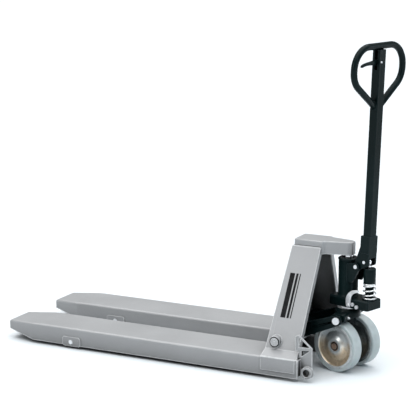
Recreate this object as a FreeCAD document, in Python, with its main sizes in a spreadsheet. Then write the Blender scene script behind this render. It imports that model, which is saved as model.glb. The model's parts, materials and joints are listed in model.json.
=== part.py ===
import FreeCAD, Part
import math
import os

import Sketcher
from FreeCAD import Placement, Rotation, Vector

# Hand pallet truck, millimetres.
# +X points from the fork tips to the operator, +Y to the operator's right, +Z up.
# The origin is on the floor under the middle of the truck's bounding box.
# Inside the script, x is counted from the load face (the front of the A-frame) and
# turns into the part's own X by adding the cell load_face_x.
# The steering unit (pump, wheels, handle) is built straight ahead in its own frame,
# with z on the steering axis, and then turned by the cell steer_angle.

DIMENSIONS = {
    # placing
    "load_face_x": 366.1, "steer_x": 244.0, "steer_angle": -16.6,
    # forks
    "fork_width": 188.0, "fork_centre_y": 177.0, "fork_length": 1150.0, "fork_rear": 153.0,
    "fork_top": 85.0, "wall_bottom": 14.0, "sheet": 4.0, "tip_half_width": 68.0, "taper_length": 120.0,
    "tip_top": 77.0, "tip_bottom": 40.0, "slope_length": 130.0, "drop_length": 150.0, "bend_radius": 9.0,
    "deck_end": 0.0, "inner_wall_end": 100.0,
    # fork axle and its plates
    "axle_x": -840.0, "axle_z": 28.0, "axle_radius": 8.0, "axle_proud": 1.5, "axle_plate_length": 85.0,
    "axle_plate_shift": 2.5, "axle_plate_bottom": 10.0, "axle_plate_top": 50.0, "axle_plate_corner": 7.0,
    "axle_plate_sheet": 3.0,
    # A-frame
    "panel_sheet": 5.5, "foot_y": 271.0, "bend_y": 226.0, "bend_z": 106.0, "panel_top_y": 57.7,
    "panel_top_z": 474.0, "panel_lean_x": 34.0, "foot_length": 148.0, "bend_length": 137.0,
    "panel_top_rear": 152.0, "flange_depth": 24.0, "channel_bottom": 25.0, "channel_sheet": 6.0,
    "channel_depth": 50.0, "side_plate_sheet": 3.0, "side_plate_bottom": 33.0, "side_plate_length": 143.0,
    # head
    "head_top": 500.0, "head_bottom": 450.0, "head_half": 52.0, "head_front": 41.0, "head_step": 155.0,
    "head_nose": 267.0, "neck_half": 42.0, "nose_half": 20.0, "nose_length": 18.0, "nose_corner": 6.0,
    # fork tails
    "gusset_y": 234.0, "gusset_sheet": 7.0, "end_plate_sheet": 6.0, "end_plate_bottom": 20.0,
    "ring_x": 183.0, "ring_z": 37.0, "ring_outer": 23.0, "ring_inner": 14.5, "ring_length": 16.0,
    # lifting linkage
    "pivot_x": 40.0, "pivot_z": 134.0, "boss_radius": 22.0, "boss_inner_y": 198.0, "boss_outer_y": 229.0,
    "shaft_radius": 12.5, "running_gap": 0.06, "tube_half": 195.0, "arm_inner_y": 96.0, "arm_sheet": 16.0,
    "arm_root": 30.0, "arm_eye": 20.0, "pin_x": 242.0, "pin_z": 212.0, "lug_drop_x": 20.2,
    "lug_drop_z": 73.3, "lug_gap": 10.0, "lug_sheet": 6.0, "lug_root": 29.0, "lug_eye": 14.0,
    "lug_pin_radius": 7.0, "pin_proud": 2.0,
    # load rollers
    "carriage_reach": 130.0, "roller_radius": 40.0, "roller_width": 90.0, "carriage_inner": 48.0,
    "carriage_sheet": 8.0, "carriage_root": 17.0, "carriage_eye": 15.0, "sleeve_radius": 15.0,
    "rod_lug_eye": 9.5, "rod_pin_x": 20.26, "rod_pin_z": 37.13, "rod_pin_radius": 5.5, "rod_radius": 8.0,
    "rod_eye": 9.5, "rod_half": 9.0, "rod_slot": 8.4, "rod_slot_gap": 0.5, "rod_slot_eye": 13.0,
    # steering carrier
    "carrier_bottom": 203.5, "carrier_top": 243.0, "carrier_half": 93.5, "carrier_radius": 50.0,
    "carrier_bar_half": 27.0, "carrier_bar_top": 231.0, "drum_top": 232.0, "dome_radius": 44.0,
    "stem_radius": 32.0, "stem_bottom": 186.0, "trunnion_radius": 8.0, "trunnion_inner": 60.0,
    "trunnion_outer": 113.0, "pin_head_radius": 14.0, "pin_head_depth": 6.0, "race_radius": 42.0,
    "race_height": 9.4, "nipple_y": -66.0, "nipple_z": 216.0,
    # steering wheels
    "wheel_radius": 100.0, "wheel_width": 46.0, "wheel_y": 58.0, "tread_depth": 12.0,
    "tread_corner": 3.0, "wheel_bore": 19.0, "hub_radius": 29.0, "hub_set_back": 2.0,
    "bearing_width": 12.0, "clip_radius": 16.5, "clip_sheet": 1.6, "clip_set_back": 2.3,
    # pump
    "post_radius": 20.0, "post_bottom": 118.0, "housing_radius": 30.0, "housing_half": 32.0,
    "base_bottom": 253.0, "base_top": 290.0, "base_front": -59.0, "base_rear": 127.5, "base_half": 43.0,
    "base_corner": 5.0, "cylinder_radius": 38.0, "cylinder_top": 430.0, "gland_radius": 40.0,
    "gland_top": 439.0, "seal_width": 6.0, "seal_depth": 4.0, "ram_radius": 17.0, "ram_top": 448.5,
    "ram_bottom": 300.0, "screw_depth": 5.0,
    # plunger
    "plunger_x": 103.0, "plunger_radius": 9.0, "plunger_foot": 301.0, "barrel_radius": 16.5,
    "barrel_top": 338.0, "flange_radius": 28.0, "spring_bottom": 293.0, "spring_top": 353.0,
    "spring_outer": 27.0, "spring_gap": 2.5, "cap_radius": 23.5, "cap_inside": 20.0, "cap_crown": 12.0,
    "cap_top": 412.0, "button_radius": 7.0, "button_top": 421.2,
    # release lever
    "release_x": 40.0, "release_z": 266.0, "strap_sheet": 5.0, "strap_gap": 0.6, "tread_z": 305.0,
    "tread_inner": 22.0,
    # handle hinge
    "hinge_x": 59.0, "hinge_z": 414.0, "hinge_pin": 8.0, "ear_inner": 16.5, "ear_outer": 24.0,
    "hinge_lug": 15.0, "cheek_inner": 25.0, "cheek_outer": 33.5, "cheek_eye": 15.5,
    "press_x": 92.0, "press_z": 435.5, "press_radius": 15.0, "press_half": 13.5, "press_axle": 6.0,
    # handle
    "handle_x": 98.5, "handle_z": 522.0, "handle_lean": 2.32, "socket_front": 23.0,
    "socket_back": 19.5, "socket_half": 25.0, "socket_bottom": -52.0, "socket_top": 14.0,
    "web_bottom": -70.0, "web_sheet": 6.0, "tube_foot": -40.0, "tube_depth": 34.0, "tube_width": 38.0,
    "tube_wall": 3.0, "tube_top": 719.0, "loop_radius": 12.5, "loop_half": 144.5, "loop_top": 731.5,
    "loop_side": 606.0, "loop_foot": 500.0, "loop_upper_bend": 80.0, "loop_lower_bend": 75.0,
    # finger lever
    "lever_z": 674.0, "lever_y": -9.0, "lever_sheet": 10.0, "lever_pin": 3.5, "lever_bore": 3.6,
    "control_rod_radius": 3.0, "control_rod_foot": -30.0, "control_rod_drop": 12.0,
    # how far a cutting tool runs past the faces that it opens
    "past": 10.0,
}


class Dim:
    """A size: its value now, and the sheet expression that it is bound to."""

    def __init__(self, value, text):
        self.value = value
        self.text = text

    def joined(self, other, sign, value):
        return Dim(value, f"({self.text} {sign} {other.text})")

    def __add__(self, other):
        other = dim(other)
        return self.joined(other, "+", self.value + other.value)

    def __sub__(self, other):
        other = dim(other)
        return self.joined(other, "-", self.value - other.value)

    def __mul__(self, other):
        other = dim(other)
        return self.joined(other, "*", self.value * other.value)

    def __radd__(self, other):
        return dim(other) + self

    def __rsub__(self, other):
        return dim(other) - self

    def __rmul__(self, other):
        return dim(other) * self

    def __truediv__(self, other):
        other = dim(other)
        return self.joined(other, "/", self.value / other.value)

    def __neg__(self):
        return Dim(-self.value, f"(0 - {self.text})")

    def __float__(self):
        return float(self.value)


def dim(size):
    """The size as a Dim: a cell's name, a plain number, or a Dim already."""
    if isinstance(size, Dim):
        return size
    if isinstance(size, str):
        return Dim(DIMENSIONS[size], f"Dims.{size}")
    if size < 0:
        return Dim(float(size), f"(0 - {-size:.6f})")
    return Dim(float(size), f"{size:.6f}")


doc = FreeCAD.newDocument("PalletTruck")
sheet = doc.addObject("Spreadsheet::Sheet", "Dims")
for row, (alias, number) in enumerate(DIMENSIONS.items(), start=1):
    sheet.set(f"A{row}", alias)
    sheet.set(f"B{row}", str(number))
    sheet.setAlias(f"B{row}", alias)
doc.recompute()

NODES = []
SIDES = {"left": -1.0, "right": 1.0}
X_AXIS = Vector(1, 0, 0)
Y_AXIS = Vector(0, 1, 0)
Z_AXIS = Vector(0, 0, 1)


def size_of(name):
    return DIMENSIONS[name]


TRUCK = Placement(Vector(size_of("load_face_x"), 0, 0), Rotation())
STEER = Placement(
    Vector(size_of("load_face_x") + size_of("steer_x"), 0, 0),
    Rotation(Z_AXIS, size_of("steer_angle")),
)
HANDLE_IN_STEER = Placement(
    Vector(size_of("handle_x"), 0, size_of("handle_z")), Rotation(Y_AXIS, size_of("handle_lean"))
)
HANDLE = STEER.multiply(HANDLE_IN_STEER)


def node(label, piece, frame=TRUCK):
    """Name a finished sub-part and stand it in its frame."""
    piece.Label = label
    piece.Placement = frame.multiply(piece.Placement)
    NODES.append(piece)
    return piece


def bind(piece, **sizes):
    for name, size in sizes.items():
        piece.setExpression(name, dim(size).text)


def shift(x=0.0, y=0.0, z=0.0):
    return Vector(float(dim(x)), float(dim(y)), float(dim(z)))


def box(low, high):
    """A box between two corners, each three sizes."""
    piece = doc.addObject("Part::Box", "Box")
    spans = [dim(top) - dim(bottom) for bottom, top in zip(low, high)]
    bind(piece, Length=spans[0], Width=spans[1], Height=spans[2])
    piece.Placement = Placement(shift(*low), Rotation())
    return piece


def rod(radius, start, length, axis=Z_AXIS):
    """A cylinder from the point start, along the axis."""
    piece = doc.addObject("Part::Cylinder", "Rod")
    bind(piece, Radius=radius, Height=length)
    piece.Placement = Placement(shift(*start), Rotation(Z_AXIS, axis))
    return piece


def cross_rod(radius, x, z, half, centre=0.0):
    """A cylinder across the truck, centred on y = centre."""
    return rod(radius, (x, dim(centre) - dim(half), z), dim(half) * 2, Y_AXIS)


def cone(radius_low, radius_high, start, height):
    piece = doc.addObject("Part::Cone", "Cone")
    bind(piece, Radius1=radius_low, Radius2=radius_high, Height=height)
    piece.Placement = Placement(shift(*start), Rotation())
    return piece


def fuse(*pieces):
    piece = doc.addObject("Part::MultiFuse", "Joined")
    piece.Shapes = list(pieces)
    piece.Refine = True
    return piece


def cut(base, *tools):
    piece = doc.addObject("Part::Cut", "Cut")
    piece.Base = base
    piece.Tool = tools[0] if len(tools) == 1 else fuse(*tools)
    return piece


def common(first, second):
    piece = doc.addObject("Part::Common", "Common")
    piece.Base = first
    piece.Tool = second
    return piece


def together(*pieces):
    """Separate identical solids that share one node."""
    piece = doc.addObject("Part::Compound", "Set")
    piece.Links = list(pieces)
    return piece


def draw(sketch, points):
    """A closed outline whose corners are held by dimensions from the sketch's origin."""
    corners = [(dim(across), dim(up)) for across, up in points]
    count = len(corners)
    first = sketch.GeometryCount
    for index in range(count):
        start, end = corners[index], corners[(index + 1) % count]
        line = Part.LineSegment(
            Vector(float(start[0]), float(start[1]), 0), Vector(float(end[0]), float(end[1]), 0)
        )
        sketch.addGeometry(line)
    for index in range(count):
        following = first + (index + 1) % count
        sketch.addConstraint(Sketcher.Constraint("Coincident", first + index, 2, following, 1))
    for index, corner in enumerate(corners):
        for kind, size in zip(("DistanceX", "DistanceY"), corner):
            name = sketch.addConstraint(Sketcher.Constraint(kind, -1, 1, first + index, 1, float(size)))
            sketch.setExpression(f"Constraints[{name}]", size.text)


def draw_circle(sketch, centre, radius):
    across, up, radius = dim(centre[0]), dim(centre[1]), dim(radius)
    circle = Part.Circle(Vector(float(across), float(up), 0), Z_AXIS, float(radius))
    index = sketch.addGeometry(circle)
    rules = (
        (Sketcher.Constraint("DistanceX", -1, 1, index, 3, float(across)), across),
        (Sketcher.Constraint("DistanceY", -1, 1, index, 3, float(up)), up),
        (Sketcher.Constraint("Radius", index, float(radius)), radius),
    )
    for rule, size in rules:
        name = sketch.addConstraint(rule)
        sketch.setExpression(f"Constraints[{name}]", size.text)


def sketch_on(body, role, offset):
    sketch = body.newObject("Sketcher::SketchObject", "Outline")
    plane = [feature for feature in body.Origin.OriginFeatures if feature.Role == role][0]
    sketch.AttachmentSupport = [(plane, "")]
    sketch.MapMode = "FlatFace"
    sketch.AttachmentOffset = Placement(Vector(0, 0, float(dim(offset))), Rotation())
    sketch.setExpression("AttachmentOffset.Base.z", dim(offset).text)
    return sketch


def plate(role, points, low, high, holes=()):
    """A body padded between two heights over a plane; holes are (centre, radius) circles.

    The planes are XY_Plane, YZ_Plane and XZ_Plane. The last one's normal is -Y, so its
    outline is drawn at the higher y and padded back.
    """
    body = doc.addObject("PartDesign::Body", "Body")
    offset = -dim(high) if role == "XZ_Plane" else dim(low)
    sketch = sketch_on(body, role, offset)
    draw(sketch, points)
    for centre, radius in holes:
        draw_circle(sketch, centre, radius)
    pad = body.newObject("PartDesign::Pad", "Pad")
    pad.Profile = sketch
    bind(pad, Length=dim(high) - dim(low))
    sketch.Visibility = False
    return body


def clipped(left, low, right, high, corner):
    """A rectangle's outline with its four corners cut off at 45 degrees."""
    left, low, right, high = dim(left), dim(low), dim(right), dim(high)
    return [
        (left, low + corner), (left + corner, low), (right - corner, low), (right, low + corner),
        (right, high - corner), (right - corner, high), (left + corner, high), (left, high - corner),
    ]


def link_plate(ends, low, high, hole_radii=(None, None)):
    """A plate round two eyes, each (x, z, radius), between two y planes, with a hole in each."""
    (x_a, z_a, r_a), (x_b, z_b, r_b) = [[float(dim(size)) for size in end] for end in ends]
    run = math.hypot(x_b - x_a, z_b - z_a)
    heading = math.atan2(z_b - z_a, x_b - x_a)
    spread = math.acos((r_a - r_b) / run)
    body = doc.addObject("PartDesign::Body", "Body")
    sketch = sketch_on(body, "XZ_Plane", -dim(high))
    tangents = []
    for turn in (spread, -spread):
        direction = Vector(math.cos(heading + turn), math.sin(heading + turn), 0)
        tangents.append((Vector(x_a, z_a, 0) + direction * r_a, Vector(x_b, z_b, 0) + direction * r_b))
    (upper_a, upper_b), (lower_a, lower_b) = tangents
    back = Vector(x_a - r_a * math.cos(heading), z_a - r_a * math.sin(heading), 0)
    front = Vector(x_b + r_b * math.cos(heading), z_b + r_b * math.sin(heading), 0)
    sketch.addGeometry(Part.LineSegment(upper_a, upper_b))
    sketch.addGeometry(Part.Arc(upper_b, front, lower_b))
    sketch.addGeometry(Part.LineSegment(lower_b, lower_a))
    sketch.addGeometry(Part.Arc(lower_a, back, upper_a))
    for (x, z, _), radius in zip(((x_a, z_a, r_a), (x_b, z_b, r_b)), hole_radii):
        if radius is not None:
            draw_circle(sketch, (x, z), radius)
    pad = body.newObject("PartDesign::Pad", "Pad")
    pad.Profile = sketch
    bind(pad, Length=dim(high) - dim(low))
    return body


def turned(points):
    """A body of revolution about its own z, from an outline of (radius, height) points."""
    body = doc.addObject("PartDesign::Body", "Body")
    sketch = sketch_on(body, "XZ_Plane", 0)
    draw(sketch, points)
    revolution = body.newObject("PartDesign::Revolution", "Revolution")
    revolution.Profile = sketch
    revolution.ReferenceAxis = (sketch, ["V_Axis"])
    revolution.Angle = 360
    return body


def dress(body, kind, choose, **sizes):
    """Fillet or chamfer the edges of a body that choose() picks."""
    doc.recompute()
    names = [f"Edge{i}" for i, edge in enumerate(body.Shape.Edges, start=1) if choose(edge)]
    feature = body.newObject(f"PartDesign::{kind}", kind)
    feature.Base = (body.Tip if body.Tip != feature else feature.BaseFeature, names)
    bind(feature, **sizes)
    return body


def rounded(solid, radius, choose):
    """A Part solid with the chosen edges rounded."""
    doc.recompute()
    piece = doc.addObject("Part::Fillet", "Rounded")
    piece.Base = solid
    radius = float(dim(radius))
    edges = [i for i, edge in enumerate(solid.Shape.Edges, start=1) if choose(edge)]
    piece.Edges = [(index, radius, radius) for index in edges]
    return piece


def ends_of(edge):
    return [vertex.Point for vertex in edge.Vertexes]


def runs_along(edge, axis):
    ends = ends_of(edge)
    return len(ends) == 2 and (ends[1] - ends[0]).cross(axis).Length < 0.01 * edge.Length


# ---------------------------------------------------------------- forks


def fork_block(inset):
    """The fork's outside (inset 0) or its hollow, from the plan and the side outline."""
    inset = dim(inset)
    half = dim("fork_width") / 2 - inset
    tip = dim("tip_half_width") - inset
    length = dim("fork_length") - inset
    rear = dim("fork_rear") + inset
    taper = length - dim("taper_length") + inset
    outside_half = dim("fork_width") / 2 + "past"
    plan = plate(
        "XY_Plane",
        [(rear, -half), (rear, half), (-taper, half), (-length, tip), (-length, -tip), (-taper, -half)],
        -dim("past") * 2, dim("fork_top") + "past",
    )
    top = dim("fork_top") - inset
    nose_top = dim("tip_top") - inset
    nose_bottom = dim("tip_bottom") + inset
    drop = dim("fork_length") - dim("drop_length")
    slope = dim("fork_length") - dim("slope_length")
    outline = [(rear, top), (-drop, top), (-length, nose_top), (-length, nose_bottom)]
    if float(inset) == 0:
        outline += [(-slope, "wall_bottom"), (rear, "wall_bottom")]
    else:
        floor = dim("wall_bottom") + inset
        heel = slope - inset
        outline += [(-heel, floor), (-heel, -dim("past")), (rear, -dim("past"))]
    side = plate("XZ_Plane", outline, -outside_half, outside_half)
    return common(plan, side)


def fork(side):
    outside = fork_block(0)

    def on_deck(edge):
        ends = ends_of(edge)
        high = all(point.z > size_of("tip_top") - 1 for point in ends)
        rear = all(point.x > size_of("fork_rear") - 1 for point in ends)
        across = all(abs(point.x + size_of("fork_length") - size_of("drop_length")) < 1 for point in ends)
        return len(ends) == 2 and high and not rear and not across

    shell = rounded(outside, "bend_radius", on_deck)
    half = dim("fork_width") / 2
    outer = half + "past"
    rear = dim("fork_rear") + "past"
    low, high = -dim("past"), dim("fork_top") + "past"
    deck_slot = box(("deck_end", -(half - "sheet"), low), (rear, half - "sheet", high))
    if side < 0:
        inner_wall = box(("inner_wall_end", 0, low), (rear, outer, high))
    else:
        inner_wall = box(("inner_wall_end", -outer, low), (rear, 0, high))
    axle_hole = cross_rod("axle_radius", "axle_x", "axle_z", outer)
    return cut(shell, fork_block("sheet"), deck_slot, inner_wall, axle_hole)


def axle_plate(y_low, y_high):
    middle = dim("axle_x") + "axle_plate_shift"
    front = middle - dim("axle_plate_length") / 2
    rear = middle + dim("axle_plate_length") / 2
    low, high = dim("axle_plate_bottom"), dim("axle_plate_top")
    outline = clipped(front, low, rear, high, "axle_plate_corner")
    return plate("XZ_Plane", outline, y_low, y_high, [(("axle_x", "axle_z"), "axle_radius")])


def build_forks():
    plates = []
    axles = []
    wall = dim("fork_width") / 2
    for name, side in SIDES.items():
        beam = fork(side)
        centre = dim("fork_centre_y") * side
        beam.Placement = Placement(shift(0, centre, 0), Rotation())
        node(f"fork_{name}", beam)
        outer = centre + wall
        inner = centre - wall
        plates.append(axle_plate(outer, outer + "axle_plate_sheet"))
        plates.append(axle_plate(inner - "axle_plate_sheet", inner))
        reach = wall + "axle_plate_sheet" + "axle_proud"
        axles.append(cross_rod("axle_radius", "axle_x", "axle_z", reach, centre))
    node("axle_plates", together(*plates))
    node("carriage_axles", together(*axles))


# ---------------------------------------------------------------- A-frame


def panel_lean():
    """The side panels' lean to the middle of the truck, in radians."""
    return math.atan2(size_of("bend_y") - size_of("panel_top_y"), size_of("panel_top_z") - size_of("bend_z"))


def panel_section(side, depth):
    """The folded sheet of a side panel, seen along the truck, with the given depth inwards."""
    lean = panel_lean()
    foot = math.atan2(size_of("bend_z") - size_of("fork_top"), size_of("foot_y") - size_of("bend_y"))
    inward = float(dim(depth))
    half_turn = (math.pi / 2 - lean - foot) / 2
    miter = inward * math.tan(half_turn)
    across = inward / math.cos(lean)
    inner_bend_y = size_of("bend_y") - inward * math.cos(lean) - miter * math.sin(lean)
    inner_bend_z = size_of("bend_z") - inward * math.sin(lean) + miter * math.cos(lean)
    foot_across = inward / math.sin(foot)
    points = [
        (size_of("foot_y"), size_of("fork_top")),
        (size_of("bend_y"), size_of("bend_z")),
        (size_of("panel_top_y"), size_of("panel_top_z")),
        (size_of("panel_top_y") - across, size_of("panel_top_z")),
        (inner_bend_y, inner_bend_z),
    ]
    if inner_bend_z > size_of("fork_top") + 0.5:
        points.append((size_of("foot_y") - foot_across, size_of("fork_top")))
    else:
        slope = (inner_bend_z - size_of("fork_top")) * math.tan(lean)
        points[-1] = (inner_bend_y + slope, size_of("fork_top"))
    return [(side * y, z) for y, z in points]


def panel_side():
    return [
        (0, "fork_top"), ("foot_length", "fork_top"), ("bend_length", "bend_z"),
        ("panel_top_rear", "panel_top_z"), ("panel_lean_x", "panel_top_z"), (0, "bend_z"),
    ]


def side_panel(side):
    reach = dim("foot_y") + "past"
    front, rear = -dim("past"), dim("panel_top_rear") + "past"
    sheet_part = common(
        plate("YZ_Plane", panel_section(side, "panel_sheet"), front, rear),
        plate("XZ_Plane", panel_side(), -reach, reach),
    )
    strip = [
        (dim("bend_length") - "panel_sheet", "bend_z"), ("bend_length", "bend_z"),
        ("panel_top_rear", "panel_top_z"), (dim("panel_top_rear") - "panel_sheet", "panel_top_z"),
    ]
    flange = common(
        plate("YZ_Plane", panel_section(side, "flange_depth"), front, rear),
        plate("XZ_Plane", strip, -reach, reach),
    )
    folded = fuse(sheet_part, flange)
    hole = rod("boss_radius", ("pivot_x", 0, "pivot_z"), reach, Y_AXIS * side)
    head_seat = box((0, -dim("head_half"), "head_bottom"), ("head_nose", "head_half", "head_top"))
    return cut(folded, hole, head_seat)


def backrest():
    """The load face: a plate between the panels, leaning with their front edges."""
    across = size_of("panel_sheet") / math.cos(panel_lean())
    run = size_of("panel_top_z") - size_of("bend_z")
    low_half = size_of("bend_y") - across
    high_half = size_of("panel_top_y") - across
    lean = math.atan2(size_of("panel_lean_x"), run)
    length = run / math.cos(lean)
    outline = [(-low_half, 0), (low_half, 0), (high_half, length), (-high_half, length)]
    leaning = plate("YZ_Plane", outline, 0, "channel_sheet")
    leaning.Placement = Placement(shift(0, 0, "bend_z"), Rotation(Y_AXIS, math.degrees(lean)))
    skirt = box((0, -low_half, "fork_top"), ("channel_sheet", low_half, "bend_z"))
    return fuse(leaning, skirt)


def head():
    """The cast head that sits on the ram."""
    nose_start = dim("head_nose") - "nose_length"
    nose = dim("nose_half")
    half_outline = [
        ("head_front", "head_half"), ("head_step", "head_half"),
        (dim("head_step") + dim("head_half") - "neck_half", "neck_half"),
        (nose_start, nose + 5), ("head_nose", nose - "nose_corner"),
    ]
    outline = [(x, -dim(y)) for x, y in half_outline] + half_outline[::-1]
    body = plate("XY_Plane", outline, "head_bottom", "head_top")
    front = size_of("head_front") + 1
    top = size_of("head_top")
    dress(body, "Fillet", lambda edge: runs_along(edge, Z_AXIS) and edge.Vertexes[0].X > front, Radius=7)

    def on_top(edge):
        ends = ends_of(edge)
        behind = ends[0].x + ends[1].x > 2 * front
        return behind and all(abs(point.z - top) < 0.01 for point in ends)

    dress(body, "Fillet", on_top, Radius=5)
    return body


def gusset(side):
    """A tail plate with two three-cornered windows."""
    outline = [
        ("fork_rear", 18), (186, 18), (200, 52), (200, 131), (146, 178), (131, 172), (131, 114), (146, 114),
        (146, 88), ("fork_rear", 88),
    ]
    windows = ([(156, 94), (191, 122), (156, 118)], [(145, 130), (190, 132), (145, 170)])
    low = dim("gusset_y") if side > 0 else -(dim("gusset_y") + "gusset_sheet")
    high = low + "gusset_sheet"
    tools = [plate("XZ_Plane", window, low - "past", high + "past") for window in windows]
    return cut(plate("XZ_Plane", outline, low, high), *tools)


def end_plate(side):
    low = dim("gusset_y") if side > 0 else -(dim("foot_y") - "sheet")
    high = dim("foot_y") - "sheet" if side > 0 else -dim("gusset_y")
    front = dim("fork_rear") - "end_plate_sheet"
    return box((front, low, "end_plate_bottom"), ("fork_rear", high, "fork_top"))


def lashing_ring(side):
    start = dim("gusset_y") + "gusset_sheet"
    outer = rod("ring_outer", ("ring_x", start * side, "ring_z"), "ring_length", Y_AXIS * side)
    hole_start = ("ring_x", (start - "past") * side, "ring_z")
    inner = rod("ring_inner", hole_start, dim("ring_length") + dim("past") * 2, Y_AXIS * side)
    return cut(outer, inner)


def pivot_boss(side):
    length = dim("boss_outer_y") - "boss_inner_y"
    start = ("pivot_x", dim("boss_inner_y") * side, "pivot_z")
    bore = dim("shaft_radius") + "running_gap"
    outer = rod("boss_radius", start, length, Y_AXIS * side)
    return cut(outer, cross_rod(bore, "pivot_x", "pivot_z", dim("boss_outer_y") + "past"))


def side_plate(side):
    low = dim("foot_y") if side > 0 else -(dim("foot_y") + "side_plate_sheet")
    outline = [
        (0, "side_plate_bottom"), ("side_plate_length", "side_plate_bottom"),
        ("side_plate_length", "fork_top"), (0, "fork_top"),
    ]
    return plate("XZ_Plane", outline, low, low + "side_plate_sheet")


def build_frame():
    for name, side in SIDES.items():
        node(f"side_panel_{name}", side_panel(side))
    node("backrest_plate", backrest())
    gap = dim("fork_centre_y") - dim("fork_width") / 2
    low, high, web = dim("channel_bottom"), dim("fork_top"), dim("channel_sheet")
    depth = dim("channel_depth")
    channel = [
        (0, low), (depth, low), (depth, low + web), (web, low + web), (web, high - web),
        (depth, high - web), (depth, high), (0, high),
    ]
    node("cross_channel", plate("XZ_Plane", channel, -gap, gap))
    node("head", head())
    for label, make in (
        ("pivot_bosses", pivot_boss), ("side_plates", side_plate), ("lashing_rings", lashing_ring),
    ):
        node(label, together(*[make(side) for side in SIDES.values()]))
    brackets = [make(side) for side in SIDES.values() for make in (gusset, end_plate)]
    node("tail_brackets", together(*brackets))


# ---------------------------------------------------------------- rocker


def build_rocker():
    tube = cut(
        cross_rod("boss_radius", "pivot_x", "pivot_z", "tube_half"),
        cross_rod("shaft_radius", "pivot_x", "pivot_z", dim("tube_half") + "past"),
    )
    node("torsion_tube", tube)
    arm_ends = (("pivot_x", "pivot_z", "arm_root"), ("pin_x", "pin_z", "arm_eye"))
    pin_bore = dim("trunnion_radius") + "running_gap"
    for name, side in SIDES.items():
        low = dim("arm_inner_y") if side > 0 else -(dim("arm_inner_y") + "arm_sheet")
        arm = link_plate(arm_ends, low, low + "arm_sheet", ("boss_radius", pin_bore))
        node(f"rocker_arm_{name}", arm)
    pin_x = dim("pivot_x") + "lug_drop_x"
    pin_z = dim("pivot_z") - "lug_drop_z"
    lug_ends = (("pivot_x", "pivot_z", "lug_root"), (pin_x, pin_z, "lug_eye"))
    lugs = []
    pins = []
    for side in SIDES.values():
        centre = dim("fork_centre_y") * side
        for low in (centre + "lug_gap", centre - "lug_gap" - "lug_sheet"):
            lugs.append(link_plate(lug_ends, low, low + "lug_sheet", ("boss_radius", "lug_pin_radius")))
        half = dim("lug_gap") + "lug_sheet" + "pin_proud"
        pins.append(cross_rod("lug_pin_radius", pin_x, pin_z, half, centre))
    node("lift_lugs", together(*lugs))
    node("lug_pins", together(*pins))
    shaft_half = dim("boss_outer_y") + "pin_proud"
    node("pivot_shaft", cross_rod("shaft_radius", "pivot_x", "pivot_z", shaft_half))


# ---------------------------------------------------------------- steering carrier


def build_carrier():
    """The casting between the arms; it doesn't steer, so it keeps the truck's frame."""
    x, bottom, top, drum_top = dim("steer_x"), dim("carrier_bottom"), dim("carrier_top"), dim("drum_top")
    front, rear = x - "carrier_bar_half", x + "carrier_bar_half"
    bar = box((front, -dim("carrier_half"), bottom), (rear, "carrier_half", "carrier_bar_top"))
    middle = (size_of("carrier_bottom") + size_of("carrier_bar_top")) / 2
    bar = rounded(bar, 6, lambda edge: runs_along(edge, Y_AXIS) and edge.Vertexes[0].Z > middle)
    drum_bottom = bottom + 6
    drum = rod("carrier_radius", (x, 0, drum_bottom), drum_top - drum_bottom)
    dome = cone("carrier_radius", "dome_radius", (x, 0, drum_top), top - drum_top)
    stem = rod("stem_radius", (x, 0, "stem_bottom"), drum_bottom - "stem_bottom")
    hole_bottom = dim("stem_bottom") - "past"
    hole_length = top + "past" - hole_bottom
    post_hole = rod(dim("post_radius") + "running_gap", (x, 0, hole_bottom), hole_length)
    pin_holes = cross_rod("trunnion_radius", "pin_x", "pin_z", dim("carrier_half") + "past")
    node("steering_carrier", cut(fuse(bar, drum, dome, stem), post_hole, pin_holes))
    pins = []
    for side in SIDES.values():
        inner, outer = dim("trunnion_inner"), dim("trunnion_outer")
        shank = rod("trunnion_radius", ("pin_x", inner * side, "pin_z"), outer - inner, Y_AXIS * side)
        cap_start = ("pin_x", outer * side, "pin_z")
        pins.append(fuse(shank, rod("pin_head_radius", cap_start, "pin_head_depth", Y_AXIS * side)))
    node("carrier_pins", together(*pins))
    race = cut(
        rod("race_radius", (x, 0, top), "race_height"),
        rod(dim("post_radius") + 1, (x, 0, top - "past"), dim("race_height") + dim("past") * 2),
    )
    node("thrust_bearing", race)
    foot = rod(5, (rear, "nipple_y", "nipple_z"), 3, X_AXIS)
    tip = rod(3, (rear + 3, "nipple_y", "nipple_z"), 5, X_AXIS)
    node("grease_nipple", fuse(foot, tip))


# ---------------------------------------------------------------- pump unit


def build_pump_base():
    half, bottom, top = dim("base_half"), dim("base_bottom"), dim("base_top")
    outline = clipped("base_front", -half, "base_rear", half, "base_corner")
    block = plate("XY_Plane", outline, bottom, top)

    def rim(edge):
        return all(abs(point.z - float(top)) < 0.01 for point in ends_of(edge))

    dress(block, "Chamfer", rim, Size=4)
    plunger_bore = dim("plunger_radius") + "running_gap"
    node("pump_base", cut(block, rod(plunger_bore, ("plunger_x", 0, bottom + 9), 60)), STEER)
    screws = []
    for x, z, radius in ((77, 262.5, 7.5), (58, 269.5, 7)):
        hex_head = rod(radius, (x, -half - "screw_depth", z), "screw_depth", Y_AXIS)
        socket = rod(radius * 0.45, (x, -half - "screw_depth" - 1, z), 3.5, Y_AXIS)
        screws.append(cut(hex_head, socket))
    node("valve_screws", together(*screws), STEER)


def build_post():
    bottom = dim("post_bottom")
    post = rod("post_radius", (0, 0, bottom), dim("base_bottom") - bottom)
    housing = cross_rod("housing_radius", 0, "wheel_radius", "housing_half")
    axle_hole = cross_rod("shaft_radius", 0, "wheel_radius", dim("housing_half") + "past")
    collar = cone(24, 28, (0, 0, bottom + 4), 24)
    node("king_post", cut(fuse(post, housing, collar), axle_hole), STEER)


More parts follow.
